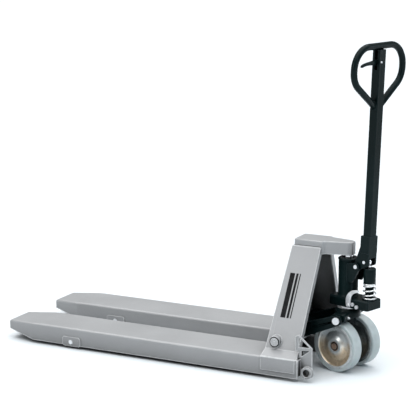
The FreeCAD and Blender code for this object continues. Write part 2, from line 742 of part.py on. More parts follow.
def build_cylinder():
    top, cylinder_top, gland_top = dim("base_top"), dim("cylinder_top"), dim("gland_top")
    cylinder = rod("cylinder_radius", (0, 0, top), cylinder_top - top)
    foot_ring = cone(dim("cylinder_radius") + 4, "cylinder_radius", (0, 0, top), 7)
    bore = rod(dim("ram_radius") + 1.5, (0, 0, top + 6), cylinder_top - top)
    node("lift_cylinder", cut(fuse(cylinder, foot_ring), bore), STEER)

    ram_gap = dim("ram_radius") + "running_gap"
    seal_outer = ram_gap + "seal_width"
    seal_bottom = gland_top - "seal_depth"
    gland = turned([
        (ram_gap, cylinder_top), ("gland_radius", cylinder_top), ("gland_radius", gland_top - 3),
        (dim("gland_radius") - 5, gland_top), (seal_outer, gland_top), (seal_outer, seal_bottom),
        (ram_gap, seal_bottom),
    ])
    node("cylinder_gland", gland, STEER)
    lip_top = gland_top + 1.5
    seal = turned([
        (ram_gap, seal_bottom), (seal_outer, seal_bottom), (seal_outer, gland_top), (ram_gap + 1, lip_top),
        (ram_gap, lip_top),
    ])
    node("dust_seal", seal, STEER)


def build_hinge():
    """The two cheeks on the cylinder that carry the handle's hinge pin."""
    outline = [(2, 350), (43, 350), (74, 402), (62, 429), (2, 420)]
    cheek_sheet = dim("cheek_outer") - "cheek_inner"
    cheeks = []
    for low in (dim("cheek_inner"), -dim("cheek_outer")):
        cheeks.append(plate("XZ_Plane", outline, low, low + cheek_sheet))
        cheeks.append(rod("cheek_eye", ("hinge_x", low, "hinge_z"), cheek_sheet, Y_AXIS))
    pin_hole = cross_rod("hinge_pin", "hinge_x", "hinge_z", dim("cheek_outer") + "past")
    seat = rod("cylinder_radius", (0, 0, "base_top"), "cylinder_top")
    node("handle_bracket", cut(fuse(*cheeks), seat, pin_hole), STEER)
    pin = cross_rod("hinge_pin", "hinge_x", "hinge_z", dim("cheek_outer") + 2.5)
    node("handle_pin", rounded(pin, 1.5, lambda edge: edge.Closed), STEER)


def build_barrel():
    """The plunger's fixed barrel and the sleeve that stands in for its return spring."""
    bore, top = dim("plunger_radius") + "running_gap", dim("base_top")
    flange_top = dim("spring_bottom")
    barrel = turned([
        (bore, top), ("flange_radius", top), ("flange_radius", flange_top), ("barrel_radius", flange_top),
        ("barrel_radius", "barrel_top"), (bore, "barrel_top"),
    ])
    barrel.Placement = Placement(shift("plunger_x"), Rotation())
    node("plunger_barrel", barrel, STEER)
    spring_length = dim("spring_top") - flange_top
    coil = cut(
        rod("spring_outer", ("plunger_x", 0, flange_top), spring_length),
        rod(
            dim("barrel_radius") + "spring_gap", ("plunger_x", 0, flange_top - "past"),
            spring_length + dim("past") * 2,
        ),
    )
    node("pump_spring", coil, STEER)


def build_axle():
    """The steer wheels' axle with its clips and bearings."""
    axle_half = dim("wheel_y") + dim("wheel_width") / 2

    def bored(ring):
        return cut(ring, cross_rod("shaft_radius", 0, "wheel_radius", axle_half + "past"))

    node("wheel_axle", cross_rod("shaft_radius", 0, "wheel_radius", axle_half), STEER)
    clips = []
    bearings = []
    for side in SIDES.values():
        start = (axle_half - "clip_set_back") * side
        clip = rod("clip_radius", (0, start, "wheel_radius"), "clip_sheet", Y_AXIS * side)
        clips.append(bored(clip))
        for offset in (-20.0, 8.0):
            start = (dim("wheel_y") + offset) * side
            race = dim("wheel_bore") - "running_gap"
            bearings.append(bored(rod(race, (0, start, "wheel_radius"), "bearing_width", Y_AXIS * side)))
    node("axle_circlips", together(*clips), STEER)
    node("wheel_bearings", together(*bearings), STEER)


def build_ram():
    bottom, top = dim("ram_bottom"), dim("ram_top")
    ram = rod("ram_radius", (0, 0, bottom), top - bottom)
    middle = float(bottom + top) / 2
    node("ram", rounded(ram, 2, lambda edge: edge.Closed and edge.CenterOfMass.z > middle), STEER)


def build_release_lever():
    """A bent strap on the block's near face: up beside the block, then over its top."""
    x, z = dim("release_x"), dim("release_z")
    knee = (x - 4, z + 20, 9)
    outer = -(dim("base_half") + "strap_gap" + "strap_sheet")
    inner = outer + "strap_sheet"
    foot = link_plate(((x, z, 11), knee), outer, inner)
    riser = link_plate((knee, (x + 2, z + 38, 8)), outer, inner)
    low, high = dim("tread_z"), dim("tread_z") + "strap_sheet"
    tread = box((x - 2, outer, low), (x + 12, -dim("tread_inner"), high))
    tail = box((x + 12, -40, low), (x + 32, -dim("tread_inner"), high))
    bolt = rod(6, (x, outer - 4, z), 4, Y_AXIS)
    node("release_lever", fuse(foot, riser, tread, tail, bolt), STEER)


# ---------------------------------------------------------------- wheels


def build_wheels():
    half = dim("wheel_width") / 2
    rim = dim("wheel_radius") - "tread_depth"
    shoulder = dim("wheel_radius") - "tread_corner"
    edge = half - "tread_corner"
    tread_outline = [
        (rim, -half), (shoulder, -half), ("wheel_radius", -edge), ("wheel_radius", edge), (shoulder, half),
        (rim, half),
    ]
    # The dish of the wheel's side, from the rim in, as radius and depth below the rim's face.
    dish = [(78, 0), (75, 5), (58, 13), (41, 9), (30, 2.5)]
    dish += [("hub_radius", "hub_set_back"), ("wheel_bore", "hub_set_back")]
    core_outline = (
        [(radius, -half + depth) for radius, depth in reversed(dish)]
        + [(rim, -half), (rim, half)]
        + [(radius, half - depth) for radius, depth in dish]
    )
    for name, side in SIDES.items():
        place = Placement(shift(0, dim("wheel_y") * side, "wheel_radius"), Rotation(X_AXIS, -90 * side))
        for label, outline in (("wheel_core", core_outline), ("wheel_tread", tread_outline)):
            ring = turned(outline)
            ring.Placement = place
            node(f"{label}_{name}", ring, STEER)


# ---------------------------------------------------------------- plunger


def build_plunger():
    low, top, radius = dim("spring_top"), dim("cap_top"), dim("cap_radius")
    ceiling = top - "cap_crown"
    cap = turned([
        ("cap_inside", low), (radius, low), (radius, top - 3), (radius - 3, top), (0, top), (0, ceiling),
        ("cap_inside", ceiling),
    ])
    cap.Placement = Placement(shift("plunger_x"), Rotation())
    node("plunger_cap", cap, STEER)
    button = rod("button_radius", ("plunger_x", 0, top), dim("button_top") - top)
    middle = float(top) + 1
    button = rounded(button, 1, lambda edge: edge.Closed and edge.CenterOfMass.z > middle)
    node("plunger_button", button, STEER)
    foot = dim("plunger_foot")
    node("plunger_rod", rod("plunger_radius", ("plunger_x", 0, foot), ceiling - foot), STEER)


# ---------------------------------------------------------------- handle


def in_handle(x, z):
    """A point of the steering unit's x-z plane, in the leaning handle's own frame."""
    point = HANDLE_IN_STEER.inverse().multVec(Vector(float(dim(x)), 0, float(dim(z))))
    return point.x, point.z


def build_yoke():
    pivot = in_handle("hinge_x", "hinge_z")
    press = in_handle("press_x", "press_z")
    front, back, bottom = -dim("socket_front"), dim("socket_back"), dim("socket_bottom")
    lug = size_of("hinge_lug")
    ear_sheet = dim("ear_outer") - "ear_inner"
    overlap = bottom / 2
    outline = [
        (pivot[0] - lug * 0.8, pivot[1] + lug * 0.6), (pivot[0] + lug * 0.6, pivot[1] - lug * 0.8),
        (press[0], press[1] - 22), (back - 2, press[1] - 12), (back, press[1]), (back, overlap),
        (front, overlap),
    ]
    ears = []
    for low in (dim("ear_inner"), -dim("ear_outer")):
        ears.append(plate("XZ_Plane", outline, low, low + ear_sheet))
        ears.append(rod("hinge_lug", (pivot[0], low, pivot[1]), ear_sheet, Y_AXIS))
    width, web_half = dim("socket_half"), dim("ear_outer") - 2
    socket = box((front, -width, bottom), (back, width, "socket_top"))
    web = box((back - "web_sheet", -web_half, "web_bottom"), (back, web_half, bottom + 2))
    tube_x, tube_y = dim("tube_depth") / 2, dim("tube_width") / 2
    bore = box((-tube_x, -tube_y, "tube_foot"), (tube_x, tube_y, dim("socket_top") + "past"))
    through = dim("ear_outer") + "past"
    hinge_hole = cross_rod(dim("hinge_pin") + "running_gap", pivot[0], pivot[1], through)
    axle_hole = cross_rod("press_axle", press[0], press[1], through)
    node("yoke", cut(fuse(socket, web, *ears), bore, hinge_hole, axle_hole), HANDLE)
    axle = cross_rod("press_axle", press[0], press[1], dim("ear_outer") + 1.5)
    pin_reach = tube_x + 3
    lever_pin = rod("lever_pin", (-pin_reach, "lever_y", "lever_z"), pin_reach * 2, X_AXIS)
    node("handle_pins", together(axle, lever_pin), HANDLE)
    roller = cut(
        cross_rod("press_radius", press[0], press[1], "press_half"),
        cross_rod(dim("press_axle") + "running_gap", press[0], press[1], through),
    )
    node("press_roller", roller, HANDLE)


def build_tube():
    depth, width, wall = dim("tube_depth") / 2, dim("tube_width") / 2, dim("tube_wall")
    foot, top, z = dim("tube_foot"), dim("tube_top"), dim("lever_z")
    outside = box((-depth, -width, foot), (depth, width, top))
    outside = rounded(outside, 2.5, lambda edge: runs_along(edge, Z_AXIS))
    inside = box((-depth + wall, -width + wall, foot - "past"), (depth - wall, width - wall, top + "past"))
    slot_half = dim("lever_sheet") / 2 + 2
    slot = box((-slot_half, -width - "past", z - 30), (slot_half, 0, z + 44))
    pin_reach = depth + "past"
    pin_hole = rod("lever_pin", (-pin_reach, "lever_y", z), pin_reach * 2, X_AXIS)
    node("handle_tube", cut(outside, inside, slot, pin_hole), HANDLE)


def loop_path():
    """Half of the grip's centre line, from the tube out and over the top, mirrored by the caller."""
    half, top, side_z = size_of("loop_half"), size_of("loop_top"), size_of("loop_side")
    foot = Vector(0, 5, size_of("loop_foot"))
    corners = [
        (Vector(0, half, side_z), size_of("loop_lower_bend")),
        (Vector(0, half, top), size_of("loop_upper_bend")),
        (Vector(0, -half, top), size_of("loop_upper_bend")),
        (Vector(0, -half, side_z), size_of("loop_lower_bend")),
    ]
    points = [foot] + [corner for corner, _ in corners] + [Vector(0, -5, foot.z)]
    edges = []
    start = foot
    for index, (corner, radius) in enumerate(corners, start=1):
        back = (points[index - 1] - corner).normalize()
        ahead = (points[index + 1] - corner).normalize()
        half_angle = back.getAngle(ahead) / 2
        reach = radius / math.tan(half_angle)
        bisector = (back + ahead).normalize()
        centre = corner + bisector * (radius / math.sin(half_angle))
        arc_start = corner + back * reach
        arc_end = corner + ahead * reach
        edges.append(Part.LineSegment(start, arc_start).toShape())
        edges.append(Part.Arc(arc_start, centre - bisector * radius, arc_end).toShape())
        start = arc_end
    edges.append(Part.LineSegment(start, points[-1]).toShape())
    return Part.Wire(edges)


def build_loop():
    path = loop_path()
    start = path.Edges[0]
    direction = (start.Vertexes[1].Point - start.Vertexes[0].Point).normalize()
    circle = Part.Circle(start.Vertexes[0].Point, direction, size_of("loop_radius"))
    profile = Part.Wire(circle.toShape())
    bar = doc.addObject("Part::Feature", "GripBar")
    bar.Shape = path.makePipeShell([profile], True, True)
    depth, width = dim("tube_depth") / 2, dim("tube_width") / 2
    spine = box((-depth, -width, 0), (depth, width, "tube_top"))
    node("handle_loop", cut(bar, spine), HANDLE)


def build_levers():
    """The finger lever on its pin in the tube's slot, and the rod that it pulls."""
    z = dim("lever_z")
    half = dim("lever_sheet") / 2
    outline = [
        (-1, z - 7), (-19.5, z - 15), (-36, z - 12), (-50, z - 11), (-64, z - 10), (-77, z - 11),
        (-88, z - 14), (-99, z - 17), (-106, z - 15.5), (-108, z - 9.5), (-101, z - 4.5), (-91, z - 1.5),
        (-75, z + 1.5), (-57, z + 3.5), (-38, z + 6.5), (-19.5, z + 8.5), (-10, z + 9), (-1, z + 6),
    ]
    blade = plate("YZ_Plane", outline, -half, half, [(("lever_y", z), "lever_bore")])
    node("control_lever", blade, HANDLE)
    foot = dim("control_rod_foot")
    length = z - "control_rod_drop" - foot
    node("control_rod", rod("control_rod_radius", (0, 4, foot), length), HANDLE)


# ---------------------------------------------------------------- load end


def build_load_end():
    x, z = dim("axle_x"), dim("axle_z")
    roller_x, roller_z = x - "carriage_reach", dim("roller_radius")
    pin_x, pin_z = x + "rod_pin_x", z + "rod_pin_z"
    rear_x, rear_z = dim("pivot_x") + "lug_drop_x", dim("pivot_z") - "lug_drop_z"
    bore = dim("axle_radius") + "running_gap"
    inner, thick = dim("carriage_inner"), dim("carriage_sheet")
    lug_gap, lug_thick = dim("lug_gap"), dim("lug_sheet")
    sleeve_half = dim("fork_width") / 2 - "sheet" - 1.5
    through = sleeve_half + "past"
    side_ends = ((x, z, "carriage_root"), (roller_x, roller_z, "carriage_eye"))
    lug_ends = ((x, z, "sleeve_radius"), (pin_x, pin_z, "rod_lug_eye"))
    for name, side in SIDES.items():
        centre = dim("fork_centre_y") * side
        pieces = [cross_rod("sleeve_radius", x, z, sleeve_half)]
        for low in (inner, -inner - thick):
            pieces.append(link_plate(side_ends, low, low + thick))
        for low in (lug_gap, -lug_gap - lug_thick):
            pieces.append(link_plate(lug_ends, low, low + lug_thick))
        holes = [
            cross_rod(bore, x, z, through), cross_rod("axle_radius", roller_x, roller_z, through),
            cross_rod("rod_pin_radius", pin_x, pin_z, through),
        ]
        carriage = cut(fuse(*pieces), *holes)
        carriage.Placement = Placement(shift(0, centre, 0), Rotation())
        node(f"carriage_{name}", carriage)
        axle = cross_rod("axle_radius", roller_x, roller_z, inner + thick + "pin_proud", centre)
        rod_pin = cross_rod("rod_pin_radius", pin_x, pin_z, lug_gap + lug_thick + "pin_proud", centre)
        node(f"carriage_pins_{name}", together(axle, rod_pin))
        roller = cut(
            cross_rod("roller_radius", roller_x, roller_z, dim("roller_width") / 2, centre),
            cross_rod(bore, roller_x, roller_z, through, centre),
        )
        node(f"load_roller_{name}", roller)
        node(f"push_rod_{name}", push_rod(centre, (pin_x, pin_z), (rear_x, rear_z)))


def push_rod(centre, front, rear):
    """A round bar with an eye on the carriage's pin and a slotted eye round the lug's pin."""
    low, high = centre - "rod_half", centre + "rod_half"
    neck = front[0] + 30
    eye = link_plate(((front[0], front[1], "rod_eye"), (neck, front[1], "rod_radius")), low, high)
    slot_end = rear[1] - "rod_slot"
    rear_eye = link_plate(
        ((rear[0], rear[1] + 1, "rod_slot_eye"), (rear[0], slot_end - 1, "rod_slot_eye")), low, high
    )
    bar_start = neck - 10
    bar = rod("rod_radius", (bar_start, centre, front[1]), rear[0] - 6 - bar_start, X_AXIS)
    window_radius = dim("lug_pin_radius") + "rod_slot_gap"
    window = link_plate(
        ((rear[0], rear[1], window_radius), (rear[0], slot_end, window_radius)), low - "past", high + "past"
    )
    front_hole = cross_rod(
        dim("rod_pin_radius") + "running_gap", front[0], front[1], dim("rod_half") + "past", centre
    )
    return cut(fuse(eye, rear_eye, bar), window, front_hole)


def check_document():
    doc.recompute()
    for piece in doc.Objects:
        bad = [word for word in piece.State if word in ("Invalid", "Error")]
        if bad:
            raise RuntimeError(f"{piece.Name} ({piece.Label}) is {bad}")
    for piece in NODES:
        if piece.Shape.isNull() or not piece.Shape.isValid() or not piece.Shape.Solids:
            raise RuntimeError(f"{piece.Label} has no valid solid")


def write_parts():
    os.makedirs("parts", exist_ok=True)
    for piece in NODES:
        piece.Shape.exportStep(f"parts/{piece.Label}.step")


build_forks()
build_frame()
build_rocker()
build_carrier()
build_pump_base()
build_post()
build_cylinder()
build_hinge()
build_barrel()
build_axle()
build_ram()
build_release_lever()
build_wheels()
build_plunger()
build_yoke()
build_tube()
build_loop()
build_levers()
build_load_end()
check_document()
write_parts()
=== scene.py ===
import json
import math

import bpy
from mathutils import Matrix, Vector, noise


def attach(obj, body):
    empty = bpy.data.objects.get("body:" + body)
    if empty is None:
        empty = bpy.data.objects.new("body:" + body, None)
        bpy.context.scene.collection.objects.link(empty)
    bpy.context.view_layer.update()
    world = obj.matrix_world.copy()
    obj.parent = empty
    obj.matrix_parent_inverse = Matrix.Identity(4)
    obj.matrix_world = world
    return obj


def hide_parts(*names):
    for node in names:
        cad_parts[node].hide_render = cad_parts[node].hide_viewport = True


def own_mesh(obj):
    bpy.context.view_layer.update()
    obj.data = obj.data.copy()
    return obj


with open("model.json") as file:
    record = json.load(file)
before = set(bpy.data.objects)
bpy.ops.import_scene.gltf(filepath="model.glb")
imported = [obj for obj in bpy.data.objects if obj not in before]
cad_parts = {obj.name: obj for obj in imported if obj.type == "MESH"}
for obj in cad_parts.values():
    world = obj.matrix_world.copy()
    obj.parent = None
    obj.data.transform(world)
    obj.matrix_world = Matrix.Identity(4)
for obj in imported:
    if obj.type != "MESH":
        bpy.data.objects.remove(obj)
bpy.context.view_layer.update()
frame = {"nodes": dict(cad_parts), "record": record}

# Hand pallet truck. Metres; +X towards the operator, +Y to the operator's right, +Z up.
# The frame's own points (TRUCK) are measured from the load face, the pump's (STEER) from the
# steering axis at floor level, and the handle's (HANDLE) from its foot, along its lean.

LOAD_FACE = 0.3661
STEER_AXIS_X = 0.244
STEER_ANGLE = math.radians(-16.6)
HANDLE_FOOT = (0.0985, 0, 0.522)
HANDLE_LEAN = math.radians(2.32)

# The three frames that the pieces are drawn in.
TRUCK = Matrix.Translation((LOAD_FACE, 0, 0))
STEER = TRUCK @ Matrix.Translation((STEER_AXIS_X, 0, 0)) @ Matrix.Rotation(STEER_ANGLE, 4, "Z")
HANDLE = STEER @ Matrix.Translation(HANDLE_FOOT) @ Matrix.Rotation(HANDLE_LEAN, 4, "Y")

# Places on the CAD parts that pieces are fitted to.
WHEEL_RADIUS = 0.1
SHAFT_X, SHAFT_Z = 0.040, 0.134
BOSS_OUTER_Y = 0.229
BOSS_WELD_RADIUS = 0.0225
PANEL_FOOT_Y, PANEL_FOOT_Z = 0.226, 0.106
PANEL_LEAN = 168.3 / 368.0
PLUNGER_X = 0.103

BEAD_STEP = 0.0024
SIDES = (("left", -1), ("right", 1))


def panel_y(z):
    """How far out a side panel's outer face stands at a height."""
    return PANEL_FOOT_Y - (z - PANEL_FOOT_Z) * PANEL_LEAN


# ---------------------------------------------------------------- camera


def add_camera():
    """A long lens in front of the truck's left side, looking down a little."""
    data = bpy.data.cameras.new("camera")
    camera = bpy.data.objects.new("camera", data)
    bpy.context.scene.collection.objects.link(camera)
    camera.location = (2.438 + LOAD_FACE, -5.494, 1.849)
    camera.rotation_euler = (math.pi / 2 - 0.206, 0.001, 0.469)
    data.sensor_width = 36
    data.lens = 137.5807
    data.shift_x = -0.007229
    data.shift_y = 0.008434
    data.clip_end = 200
    bpy.context.scene.camera = camera


# ---------------------------------------------------------------- materials


class Recipe:
    """One node material: small helpers round its Principled shader."""

    def __init__(self, name, **constants):
        self.material = bpy.data.materials.new(name)
        self.material.use_nodes = True
        self.tree = self.material.node_tree
        self.shader = self.tree.nodes["Principled BSDF"]
        for socket, value in constants.items():
            self.shader.inputs[socket.replace("_", " ")].default_value = value
        self.place = self.node("ShaderNodeTexCoord").outputs["Object"]

    def node(self, kind, **settings):
        made = self.tree.nodes.new(kind)
        for key, value in settings.items():
            setattr(made, key, value)
        return made

    def feed(self, socket, source):
        """Set a socket to a number or colour, or link it to an output."""
        if isinstance(source, bpy.types.NodeSocket):
            self.tree.links.new(source, socket)
        else:
            socket.default_value = source

    def noise(self, scale, detail=3.0, stretch=(1, 1, 1)):
        spread = self.node("ShaderNodeMapping")
        self.feed(spread.inputs["Vector"], self.place)
        spread.inputs["Scale"].default_value = stretch
        made = self.node("ShaderNodeTexNoise")
        self.feed(made.inputs["Vector"], spread.outputs[0])
        made.inputs["Scale"].default_value = scale
        made.inputs["Detail"].default_value = detail
        return made.outputs["Fac"]

    def span(self, value, start, end, low=0.0, high=1.0):
        """Map start..end to low..high, held at the ends."""
        made = self.node("ShaderNodeMapRange", clamp=True)
        self.feed(made.inputs["Value"], value)
        for socket, number in (("From Min", start), ("From Max", end), ("To Min", low), ("To Max", high)):
            made.inputs[socket].default_value = number
        return made.outputs["Result"]

    def mix(self, factor, first, second):
        """First where the factor is 0, second where it is 1; each a colour or an output."""
        made = self.node("ShaderNodeMix", data_type="RGBA")
        self.feed(made.inputs["Factor"], factor)
        self.feed(made.inputs["A"], (*first, 1) if isinstance(first, tuple) else first)
        self.feed(made.inputs["B"], (*second, 1) if isinstance(second, tuple) else second)
        return made.outputs["Result"]

    def math(self, operation, *values):
        made = self.node("ShaderNodeMath", operation=operation)
        for socket, value in zip(made.inputs, values):
            self.feed(socket, value)
        return made.outputs[0]

    def vector(self, operation, *values):
        made = self.node("ShaderNodeVectorMath", operation=operation)
        for socket, value in zip(made.inputs, values):
            self.feed(socket, value)
        return made

    def axis(self, name):
        parts = self.node("ShaderNodeSeparateXYZ")
        self.feed(parts.inputs[0], self.place)
        return parts.outputs[name]

    def edges(self, radius):
        """1 on sharp outer and inner edges, 0 on flat faces."""
        soft = self.node("ShaderNodeBevel", samples=4)
        soft.inputs["Radius"].default_value = radius
        normal = self.node("ShaderNodeNewGeometry").outputs["Normal"]
        along = self.vector("DOT_PRODUCT", soft.outputs[0], normal).outputs["Value"]
        return self.span(along, 0.995, 0.93)

    def sheltered(self, reach):
        """1 deep inside hollows, 0 on open faces."""
        open_sky = self.node("ShaderNodeAmbientOcclusion", samples=6)
        open_sky.inputs["Distance"].default_value = reach
        return self.span(open_sky.outputs["AO"], 0.70, 0.36, 0, 0.94)

    def finish(self, colour, roughness, *bumps):
        """Colour and roughness sources, then (height, depth in metres) bumps."""
        self.feed(self.shader.inputs["Base Color"], colour)
        self.feed(self.shader.inputs["Roughness"], roughness)
        normal = None
        for height, depth in bumps:
            bump = self.node("ShaderNodeBump")
            bump.inputs["Distance"].default_value = depth
            bump.inputs["Strength"].default_value = 1.0
            self.feed(bump.inputs["Height"], height)
            if normal is not None:
                self.feed(bump.inputs["Normal"], normal)
            normal = bump.outputs[0]
        if normal is not None:
            self.feed(self.shader.inputs["Normal"], normal)
        return self.material


def enamel(name, colour, gloss, peel, shade, edge_wear_and_highlight, wear_and_highlight_width, hollow_shade_colour, **constants):
    """Sprayed enamel: cloudy tone, orange peel, darker patches low down, lighter edges (edge wear with a
    painted highlight) and painted shade in hollows.

    gloss is its roughness, peel the depth of its skin and shade its change of tone; the next three give
    the colour of the lighter edge band (wear and painted highlight), its width, and the colour of the
    painted shade.
    """
    recipe = Recipe(name, **constants)
    darker = tuple(part * (1 - shade) for part in colour)
    lighter = tuple(min(1.0, part * (1 + shade)) for part in colour)
    clouds = recipe.span(recipe.noise(5, 4), 0.35, 0.65)
    tone = recipe.mix(clouds, darker, lighter)
    specks = recipe.span(recipe.noise(260, 2), 0.66, 0.74, 0, 0.25)
    tone = recipe.mix(specks, tone, darker)
    # Darker towards the floor, in patches.
    low = recipe.span(recipe.axis("Z"), 0.05, 0.0, 0, 0.35)
    low_patches = recipe.math("MULTIPLY", low, recipe.span(recipe.noise(30, 5), 0.4, 0.65))
    tone = recipe.mix(low_patches, tone, darker)
    # Painted shade: darker in hollows and between parts, where ambient occlusion finds them.
    tone = recipe.mix(recipe.sheltered(0.16), tone, hollow_shade_colour)
    # Lighter band along edges: partly edge wear, partly a painted highlight.
    wear_and_highlight_band = recipe.math("MULTIPLY", recipe.edges(wear_and_highlight_width), recipe.span(recipe.noise(45, 4), 0.2, 0.5, 0.4))
    tone = recipe.mix(wear_and_highlight_band, tone, edge_wear_and_highlight)
    marks = recipe.span(recipe.noise(60, 4, (1, 14, 14)), 0.45, 0.7, 0, 0.12)
    roughness = recipe.math("ADD", marks, recipe.span(clouds, 0, 1, gloss - 0.03, gloss + 0.04))
    skin = recipe.noise(330, 2)
    wave = recipe.noise(28, 2)
    return recipe.finish(tone, roughness, (wave, 0.0012), (skin, peel))


def plated(name, colour, shade, gloss, stretch, tint=None, metallic=1.0):
    """Bright plated or bare metal with fine drawn marks, smudges and a little tint."""
    recipe = Recipe(name, Metallic=metallic)
    darker = tuple(part * (1 - shade) for part in colour)
    grain = recipe.noise(140, 4, stretch)
    tone = recipe.mix(recipe.span(grain, 0.3, 0.7), darker, colour)
    if tint is not None:
        tone = recipe.mix(recipe.span(recipe.noise(38, 3), 0.45, 0.68, 0, 0.8), tone, tint)
    smudge = recipe.span(recipe.noise(24, 5), 0.4, 0.7, 0, 0.14)
    roughness = recipe.math("ADD", smudge, recipe.span(grain, 0.3, 0.7, gloss - 0.04, gloss + 0.06))
    return recipe.finish(tone, roughness, (grain, 0.00006))


def distance_from_axle(recipe):
    """Distance from the steer wheels' axle."""
    centre = tuple(STEER @ Vector((0, 0, WHEEL_RADIUS)))
    across = tuple(STEER.to_3x3() @ Vector((0, 1, 0)))
    offset = recipe.vector("SUBTRACT", recipe.place, centre).outputs[0]
    turned = recipe.vector("CROSS_PRODUCT", offset, across).outputs[0]
    return recipe.vector("LENGTH", turned).outputs["Value"]


def wheel_zinc():
    """Turned wheel core: concentric tool marks, bluish zinc with straw-coloured passivation."""
    recipe = Recipe("wheel_zinc", Metallic=0.6)
    radius = distance_from_axle(recipe)
    rings = recipe.node("ShaderNodeTexNoise", noise_dimensions="1D")
    recipe.feed(rings.inputs["W"], radius)
    rings.inputs["Scale"].default_value = 1500
    rings.inputs["Detail"].default_value = 3
    rings = rings.outputs["Fac"]
    silver = recipe.mix(recipe.span(rings, 0.3, 0.7), (0.50, 0.54, 0.55), (0.66, 0.70, 0.71))
    height = recipe.span(recipe.axis("Z"), 0.145, 0.05)
    cloud = recipe.span(recipe.noise(16, 3), 0.3, 0.7, -0.3, 0.3)
    patches = recipe.span(recipe.math("ADD", height, cloud), 0.2, 0.75, 0, 0.85)
    dish = recipe.span(radius, 0.024, 0.040)
    straw = recipe.mix(patches, silver, (0.64, 0.48, 0.30))
    tone = recipe.mix(dish, silver, straw)
    hub = recipe.span(radius, 0.0205, 0.0175, 0, 0.75)
    tone = recipe.mix(hub, tone, (0.20, 0.13, 0.08))
    rim = recipe.span(radius, 0.0765, 0.0785)
    tone = recipe.mix(rim, tone, (0.74, 0.77, 0.78))
    # Painted shade: darker in the core's hollows, where ambient occlusion finds them.
    tone = recipe.mix(recipe.sheltered(0.12), tone, (0.04, 0.06, 0.06))
    smudge = recipe.span(recipe.noise(30, 4), 0.35, 0.7, 0, 0.12)
    roughness = recipe.math("ADD", smudge, recipe.span(rings, 0.3, 0.7, 0.2, 0.3))
    return recipe.finish(tone, roughness, (rings, 0.00005))


def nylon():
    """Light grey cast nylon, a little clouded, with scuffs on the rolling surface."""
    recipe = Recipe("tread_nylon", Coat_Weight=0.15, Coat_Roughness=0.35, Subsurface_Weight=0.05)
    clouds = recipe.span(recipe.noise(22, 4), 0.35, 0.65)
    tone = recipe.mix(clouds, (0.34, 0.39, 0.40), (0.41, 0.46, 0.47))
    scuff = recipe.span(recipe.noise(90, 5, (3, 1, 3)), 0.6, 0.72, 0, 0.4)
    tone = recipe.mix(scuff, tone, (0.27, 0.28, 0.28))
    roughness = recipe.span(recipe.noise(60, 4), 0.3, 0.7, 0.34, 0.52)
    return recipe.finish(tone, roughness, (recipe.noise(420, 3), 0.00006), (recipe.noise(35, 2), 0.0004))


def rubber():
    """Matt black, for seals and for the printed stripes."""
    recipe = Recipe("seal_rubber", Specular_IOR_Level=0.15)
    clouds = recipe.span(recipe.noise(80, 4), 0.3, 0.7)
    tone = recipe.mix(clouds, (0.003, 0.003, 0.0035), (0.008, 0.008, 0.009))
    roughness = recipe.span(recipe.noise(120, 3), 0.3, 0.7, 0.55, 0.75)
    return recipe.finish(tone, roughness, (recipe.noise(600, 2), 0.00008))


def stage_floor():
    """A pale matt floor."""
    recipe = Recipe("floor")
    tone = recipe.mix(recipe.noise(0.6, 2), (0.60, 0.635, 0.66), (0.62, 0.655, 0.68))
    return recipe.finish(tone, recipe.span(recipe.noise(3, 3), 0, 1, 0.6, 0.7))


def make_materials():
    """One material for each slot of the record."""
    return {
        "frame_paint": enamel(
            "frame_paint", (0.270, 0.274, 0.280), gloss=0.34, peel=0.00010, shade=0.045,
            # the lighter edge colour is wear plus a painted highlight; the last colour is painted shade in
            # hollows
            edge_wear_and_highlight=(0.64, 0.65, 0.66), wear_and_highlight_width=0.0044, hollow_shade_colour=(0.012, 0.010, 0.009),
            Specular_IOR_Level=0.4, Coat_Weight=0.15, Coat_Roughness=0.2,
        ),
        "black_paint": enamel(
            "black_paint", (0.0030, 0.0085, 0.0090), gloss=0.24, peel=0.00007, shade=0.25,
            # the lighter edge colour is wear plus a painted highlight; the last colour is painted shade in
            # hollows
            edge_wear_and_highlight=(0.02, 0.030, 0.034), wear_and_highlight_width=0.0024, hollow_shade_colour=(0.0008, 0.0016, 0.0016),
            Specular_IOR_Level=0.07, Coat_Weight=0.03, Coat_Roughness=0.1,
        ),
        "zinc_steel": plated("zinc_steel", (0.74, 0.75, 0.77), 0.12, 0.26, (1, 1, 9), metallic=0.72),
        "chrome": plated("chrome", (0.86, 0.86, 0.88), 0.04, 0.1, (1, 1, 20)),
        "bronze_steel": plated(
            "bronze_steel", (0.86, 0.60, 0.45), 0.2, 0.3, (1, 1, 1), (0.60, 0.38, 0.27)
        ),
        "spring_steel": plated("spring_steel", (0.82, 0.83, 0.84), 0.1, 0.22, (6, 6, 1)),
        "seal_rubber": rubber(),
        "wheel_zinc": wheel_zinc(),
        "tread_nylon": nylon(),
    }


def dress_cad_nodes(materials):
    """Every carried-over CAD node gets its slot's material and small rounded edges."""
    widths = {
        "frame_paint": 0.0018, "black_paint": 0.0014, "tread_nylon": 0.0006, "seal_rubber": 0.0002,
        "wheel_zinc": 0.0008,
    }
    for part in frame["record"]["subparts"]:
        item = frame["nodes"][part["node"]]
        item.data.materials.clear()
        item.data.materials.append(materials[part["material_slot"]])
        weld = item.modifiers.new("weld", "WELD")
        weld.merge_threshold = 0.00001
        round_edges(item, widths.get(part["material_slot"], 0.0005))


def round_edges(item, width, segments=2):
    """Small rounded edges wherever two faces meet at more than a slight angle."""
    bevel = item.modifiers.new("edges", "BEVEL")
    bevel.width = width
    bevel.segments = segments
    bevel.limit_method = "ANGLE"
    bevel.angle_limit = math.radians(32)
    bevel.harden_normals = True


# ---------------------------------------------------------------- pieces


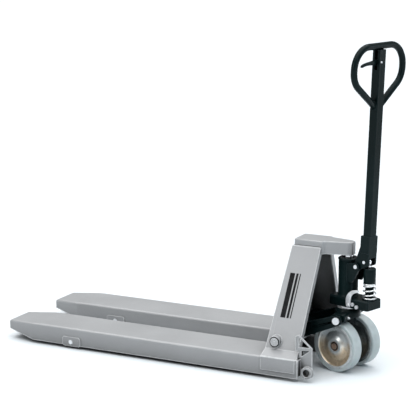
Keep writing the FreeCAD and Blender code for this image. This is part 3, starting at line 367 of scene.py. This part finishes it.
def piece(name, points, faces, place, body, slot, materials, replaces=(), smooth=True):
    """A mesh piece drawn in one of the object's frames, riding on its body."""
    mesh = bpy.data.meshes.new(name)
    mesh.from_pydata([place @ Vector(point) for point in points], [], faces)
    mesh.validate()
    mesh.update()
    for polygon in mesh.polygons:
        polygon.use_smooth = smooth
    mesh.materials.append(materials[slot])
    item = bpy.data.objects.new(name, mesh)
    bpy.context.scene.collection.objects.link(item)
    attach(item, body)
    if replaces:
        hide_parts(*replaces)
    return item


def skin(levels, sides, closed=False, turned=False):
    """Faces that join rings of points one after the other and, unless closed, cap both ends.

    They look outwards where the rings run clockwise seen from the last one, or the other way if turned.
    """
    faces = []
    for level in range(levels if closed else levels - 1):
        low, high = level * sides, (level + 1) % levels * sides
        for step in range(sides):
            following = (step + 1) % sides
            faces.append((high + step, high + following, low + following, low + step))
    if not closed:
        faces.append(tuple(range(sides)))
        faces.append(tuple(range(levels * sides - 1, (levels - 1) * sides - 1, -1)))
    return [face[::-1] for face in faces] if turned else faces


def sweep(path, rings, closed=False):
    """Points and faces of a skin over rings of (across, up) offsets carried along a path.

    Each ring is a list of offsets; the frame turns as little as it can from point to point.
    """
    path = [Vector(point) for point in path]
    count = len(path)
    points = []
    up = None
    for index, here in enumerate(path):
        before = path[index - 1] if index or closed else here
        after = path[(index + 1) % count] if index + 1 < count or closed else here
        ahead = (after - before).normalized()
        if up is None:
            up = Vector((0, 0, 1)) if abs(ahead.z) < 0.9 else Vector((1, 0, 0))
        across = ahead.cross(up).normalized()
        up = across.cross(ahead).normalized()
        points += [here + across * side + up * rise for side, rise in rings[index]]
    return points, skin(count, len(rings[0]), closed)


def stations(corners, spacing):
    """Points at an even spacing along straight runs."""
    points = []
    for start, end in zip(corners, corners[1:]):
        start, end = Vector(start), Vector(end)
        steps = max(1, round((end - start).length / spacing))
        points += [start.lerp(end, step / steps) for step in range(steps)]
    points.append(Vector(corners[-1]))
    return points


def round_ring(radius, sides=12):
    turns = [2 * math.pi * step / sides for step in range(sides)]
    return [(radius * math.cos(turn), radius * math.sin(turn)) for turn in turns]


def squarish_ring(half_width, half_height, sides=24, power=0.62):
    """An ellipse filled out towards its box."""
    ring = []
    for step in range(sides):
        turn = 2 * math.pi * step / sides
        across = math.copysign(abs(math.cos(turn)) ** power, math.cos(turn))
        up = math.copysign(abs(math.sin(turn)) ** power, math.sin(turn))
        ring.append((half_width * across, half_height * up))
    return ring


def circle(centre, first, second, steps=48):
    """Points round an ellipse whose half axes are two vectors."""
    centre, first, second = Vector(centre), Vector(first), Vector(second)
    turns = [2 * math.pi * step / steps for step in range(steps)]
    return [centre + first * math.cos(turn) + second * math.sin(turn) for turn in turns]


def weld_bead(name, path, radius, place, body, slot, materials, closed=False):
    """A weld's rippled bead: its radius and line waver from station to station."""
    path = [Vector(point) for point in path]
    rings = []
    for index, point in enumerate(path):
        ripple = 1 + 0.14 * math.sin(index * 2.1) + 0.25 * noise.noise(point * 160)
        ends = 1.0 if closed else min(1.0, 0.55 + 0.25 * min(index, len(path) - 1 - index))
        rings.append(round_ring(radius * ripple * ends, 8))
    points, faces = sweep(path, rings, closed)
    return piece(name, points, faces, place, body, slot, materials)


def add_welds(materials):
    """Beads round the bosses, rings and eyes, and along the seams that show."""
    for name, side in SIDES:
        foot = stations([(0.003, side * 0.2706, 0.0853), (0.145, side * 0.2706, 0.0853)], BEAD_STEP)
        weld_bead(f"weld_foot_{name}", foot, 0.0019, TRUCK, "frame", "frame_paint", materials)
        top = stations([(0.044, side * 0.0555, 0.4742), (0.150, side * 0.0555, 0.4742)], BEAD_STEP)
        weld_bead(f"weld_head_{name}", top, 0.002, TRUCK, "frame", "frame_paint", materials)
        centre = Vector((SHAFT_X, side * panel_y(SHAFT_Z), SHAFT_Z))
        along = (BOSS_WELD_RADIUS, 0, 0)
        rise = Vector((0, -side * PANEL_LEAN, 1)) * BOSS_WELD_RADIUS
        boss = circle(centre, along, rise, steps=60)
        weld_bead(f"weld_boss_{name}", boss, 0.0021, TRUCK, "frame", "frame_paint", materials, True)
        ring = circle((0.183, side * 0.241, 0.037), (0.0228, 0, 0), (0, 0, 0.0228), steps=54)
        weld_bead(f"weld_ring_{name}", ring, 0.0016, TRUCK, "frame", "frame_paint", materials, True)
        for face, y in (("inner", 0.0952), ("outer", 0.1128)):
            root = circle((SHAFT_X, side * y, SHAFT_Z), along, (0, 0, BOSS_WELD_RADIUS))
            title = f"weld_arm_{face}_{name}"
            weld_bead(title, root, 0.002, TRUCK, "rocker", "black_paint", materials, True)
        leg = circle((0, side * 0.019, 0.512), (0.0128, 0, 0), (0, 0, 0.0158), steps=40)
        weld_bead(f"weld_leg_{name}", leg, 0.0016, HANDLE, "handle", "black_paint", materials, True)
        cheek = stations([(0.0181, side * 0.0336, 0.352), (0.0181, side * 0.0336, 0.419)], BEAD_STEP)
        weld_bead(f"weld_cheek_{name}", cheek, 0.0019, STEER, "pump", "black_paint", materials)
    half_x, half_y, z = 0.0172, 0.0192, 0.0142
    corners = [(-half_x, -half_y, z), (half_x, -half_y, z), (half_x, half_y, z), (-half_x, half_y, z)]
    collar = stations(corners + corners[:1], BEAD_STEP)[:-1]
    weld_bead("weld_socket", collar, 0.0015, HANDLE, "handle", "black_paint", materials, True)


def add_spring(materials):
    """The pump's coil return spring, a little wider at its foot."""
    low, high = 0.293, 0.353
    foot_radius, taper = 0.0245, 0.0025
    wire = 0.0027
    turns = 4.6
    dead_turns = 0.75
    start = 2.2
    steps = 230
    path = []
    for step in range(steps + 1):
        turn = turns * step / steps
        climb = min(max((turn - dead_turns) / (turns - 2 * dead_turns), 0), 1)
        radius = foot_radius - taper * climb
        angle = 2 * math.pi * turn + start
        height = low + wire + climb * (high - low - 2 * wire)
        path.append((PLUNGER_X + radius * math.cos(angle), radius * math.sin(angle), height))
    points, faces = sweep(path, [round_ring(wire)] * len(path))
    coil = piece("return_spring", points, faces, STEER, "pump", "spring_steel", materials, ["pump_spring"])
    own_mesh(coil)


def add_release_lever(materials):
    """The foot lever: a plate that stands on its bolt and arches back over the pump block.

    Each stop is x, y, z and the plate's width there.
    """
    stops = (
        (0.0395, -0.0463, 0.2570, 0.0150), (0.0385, -0.0463, 0.2650, 0.0215),
        (0.0375, -0.0463, 0.2800, 0.0230), (0.0390, -0.0463, 0.2930, 0.0230),
        (0.0440, -0.0460, 0.3050, 0.0200), (0.0520, -0.0440, 0.3140, 0.0150),
        (0.0610, -0.0390, 0.3190, 0.0115), (0.0700, -0.0330, 0.3205, 0.0100),
        (0.0745, -0.0300, 0.3200, 0.0070),
    )
    half_thick = 0.0022
    points = []
    for index, (x, y, z, width) in enumerate(stops):
        before, after = stops[max(index - 1, 0)], stops[min(index + 1, len(stops) - 1)]
        run = Vector((after[0] - before[0], 0, after[2] - before[2])).normalized()
        across = Vector((-run.z, 0, run.x)) * width / 2
        centre = Vector((x, y, z))
        for side, depth in ((-1, -1), (1, -1), (1, 1), (-1, 1)):
            points.append(centre + across * side + Vector((0, half_thick * depth, 0)))
    faces = skin(len(stops), 4)
    strap = piece(
        "release_strap", points, faces, STEER, "release_lever", "zinc_steel", materials, ["release_lever"]
    )
    round_edges(strap, 0.0012, 3)
    smooth = strap.modifiers.new("smooth", "SUBSURF")
    smooth.levels = smooth.render_levels = 2
    add_bolt("release_bolt", (0.0395, -0.0486, 0.2655), 0.0058, STEER, "release_lever", materials)


def add_bolt(name, face, radius, place, body, materials):
    """A button-head bolt on a face that looks along -Y, with a hexagon socket."""
    x, y, z = face
    profile = (
        (radius, 0.0), (radius, -0.0016), (radius * 0.9, -0.0030), (radius * 0.7, -0.0038),
        (radius * 0.52, -0.0041), (radius * 0.46, -0.0038), (radius * 0.44, -0.0020),
    )
    socket_level = 4
    socket_corner = 1.12
    sector_angle = math.pi / 3
    sides = 36
    points = []
    for level, (radius_here, depth) in enumerate(profile):
        for step in range(sides):
            turn = 2 * math.pi * step / sides
            reach = radius_here
            if level >= socket_level:
                sector = turn % sector_angle - sector_angle / 2
                reach *= socket_corner * math.cos(sector_angle / 2) / math.cos(sector)
            points.append((x + reach * math.cos(turn), y + depth, z + reach * math.sin(turn)))
    faces = skin(len(profile), sides, turned=True)
    return piece(name, points, faces, place, body, "zinc_steel", materials)


def add_finger_lever(materials):
    """The finger lever: a moulded blade that droops to a hooked tip.

    Each stop is y, the rise above the lever's pin, the blade's height and its width.
    """
    pin_z = 0.674
    stops = (
        (-0.0015, 0.0000, 0.0150, 0.0098), (-0.0100, -0.0010, 0.0195, 0.0098),
        (-0.0195, -0.0032, 0.0230, 0.0098), (-0.0290, -0.0032, 0.0205, 0.0096),
        (-0.0400, -0.0028, 0.0175, 0.0094), (-0.0500, -0.0032, 0.0150, 0.0092),
        (-0.0610, -0.0036, 0.0134, 0.0090), (-0.0720, -0.0045, 0.0124, 0.0090),
        (-0.0820, -0.0057, 0.0120, 0.0088), (-0.0910, -0.0075, 0.0120, 0.0086),
        (-0.0985, -0.0098, 0.0116, 0.0084), (-0.1045, -0.0118, 0.0088, 0.0076),
        (-0.1075, -0.0128, 0.0040, 0.0044),
    )
    path = [(0, y, pin_z + rise) for y, rise, _, _ in stops]
    rings = [squarish_ring(width / 2, height / 2) for _, _, height, width in stops]
    points, faces = sweep(path, rings)
    blade = piece(
        "finger_lever", points, faces, HANDLE, "control_lever", "black_paint", materials, ["control_lever"]
    )
    smooth = blade.modifiers.new("smooth", "SUBSURF")
    smooth.levels = smooth.render_levels = 1


def add_panel_stripes(materials):
    """Three plain dark stripes up each side panel, printed flat on the sheet."""
    proud = 0.0004
    low, high = 0.218, 0.377
    slant = 0.009
    stripes = ((0.0385, 0.020), (0.0640, 0.009), (0.0785, 0.004))
    for name, side in SIDES:
        points = []
        faces = []
        for start, width in stripes:
            first = len(points)
            for z, drift in ((low, 0.0), (high, slant)):
                y = side * (panel_y(z) + proud)
                points += [(start + drift, y, z), (start + drift + width, y, z)]
            faces.append((first, first + 1, first + 3, first + 2)[:: -side])
        title = f"panel_stripes_{name}"
        piece(title, points, faces, TRUCK, "frame", "seal_rubber", materials, smooth=False)


def lathe(name, profile, centre, side, place, body, slot, materials):
    """A ring or disc turned about a Y axis from (radius, height above the centre) steps."""
    sides = 40
    points = []
    for radius, height in profile:
        for step in range(sides):
            turn = 2 * math.pi * step / sides
            reach = Vector((radius * math.cos(turn), side * height, radius * math.sin(turn)))
            points.append(Vector(centre) + reach)
    faces = skin(len(profile), sides, turned=side < 0)
    return piece(name, points, faces, place, body, slot, materials, smooth=False)


def add_shaft_caps(materials):
    """Turned caps with two grooves over the pivot shaft's ends, each in a dark sealing ring."""
    cap = (
        (0.0150, 0.0006), (0.0162, 0.0012), (0.0162, 0.0034), (0.0154, 0.0042), (0.0122, 0.0042),
        (0.0116, 0.0034), (0.0100, 0.0034), (0.0094, 0.0042), (0.0056, 0.0042), (0.0050, 0.0036),
        (0.0038, 0.0036), (0.0032, 0.0042),
    )
    seal = ((0.0202, 0.0004), (0.0202, 0.0014), (0.0196, 0.0020), (0.0150, 0.0020))
    for name, side in SIDES:
        centre = (SHAFT_X, side * BOSS_OUTER_Y, SHAFT_Z)
        lathe(f"shaft_cap_{name}", cap, centre, side, TRUCK, "rocker", "frame_paint", materials)
        lathe(f"shaft_seal_{name}", seal, centre, side, TRUCK, "rocker", "seal_rubber", materials)


# ---------------------------------------------------------------- studio


def add_floor():
    """The floor, just under the wheels."""
    bpy.ops.mesh.primitive_plane_add(size=120, location=(0, 0, -0.0002))
    floor = bpy.context.object
    floor.name = "floor"
    floor.data.materials.append(stage_floor())


def softbox(name, place, target, size, power, colour=(1, 1, 1)):
    """A rectangular area light at a place, turned to face a target."""
    data = bpy.data.lights.new(name, "AREA")
    data.shape = "RECTANGLE"
    data.size, data.size_y = size
    data.energy = power
    data.color = colour
    lamp = bpy.data.objects.new(name, data)
    lamp.location = place
    lamp.rotation_euler = (Vector(target) - Vector(place)).to_track_quat("-Z", "Y").to_euler()
    bpy.context.scene.collection.objects.link(lamp)


def add_light():
    """A bright ceiling that fades to a dimmer horizon, and soft boxes round the truck."""
    world = bpy.data.worlds.new("studio")
    bpy.context.scene.world = world
    world.use_nodes = True
    nodes, links = world.node_tree.nodes, world.node_tree.links
    direction = nodes.new("ShaderNodeTexCoord")
    parts = nodes.new("ShaderNodeSeparateXYZ")
    links.new(direction.outputs["Generated"], parts.inputs[0])
    fade = nodes.new("ShaderNodeValToRGB")
    fade.color_ramp.interpolation = "EASE"
    stops = ((0.0, 0.04), (0.55, 0.10), (0.85, 1.0), (1.0, 1.0))
    for position, _ in stops[1:-1]:
        fade.color_ramp.elements.new(position)
    for element, (position, level) in zip(fade.color_ramp.elements, stops):
        element.position = position
        element.color = (level * 0.985, level * 0.995, level, 1)
    links.new(parts.outputs["Z"], fade.inputs[0])
    links.new(fade.outputs[0], nodes["Background"].inputs[0])
    nodes["Background"].inputs[1].default_value = 3.3
    softbox("key", (-0.71, -2.46, 1.79), target=(0.456, -0.142, 0.29), size=(0.8, 0.7), power=14)
    softbox("strip", (-1.3, -1.25, 3.0), target=(-0.1, -0.25, 0.1), size=(2.4, 0.5), power=7)
    softbox("rim", (2.6, 1.4, 1.6), (0.5, 0, 0.6), (0.5, 1.6), power=6, colour=(0.80, 0.92, 1.0))
    softbox("glint", (2.85, -1.2, 1.5), (0.6, 0, 1.1), (0.2, 1.4), power=9, colour=(0.66, 0.86, 1.0))
    bpy.context.scene.view_settings.view_transform = "Standard"


add_camera()
add_floor()
add_light()
MATERIALS = make_materials()
dress_cad_nodes(MATERIALS)
add_welds(MATERIALS)
add_spring(MATERIALS)
add_release_lever(MATERIALS)
add_finger_lever(MATERIALS)
add_panel_stripes(MATERIALS)
add_shaft_caps(MATERIALS)
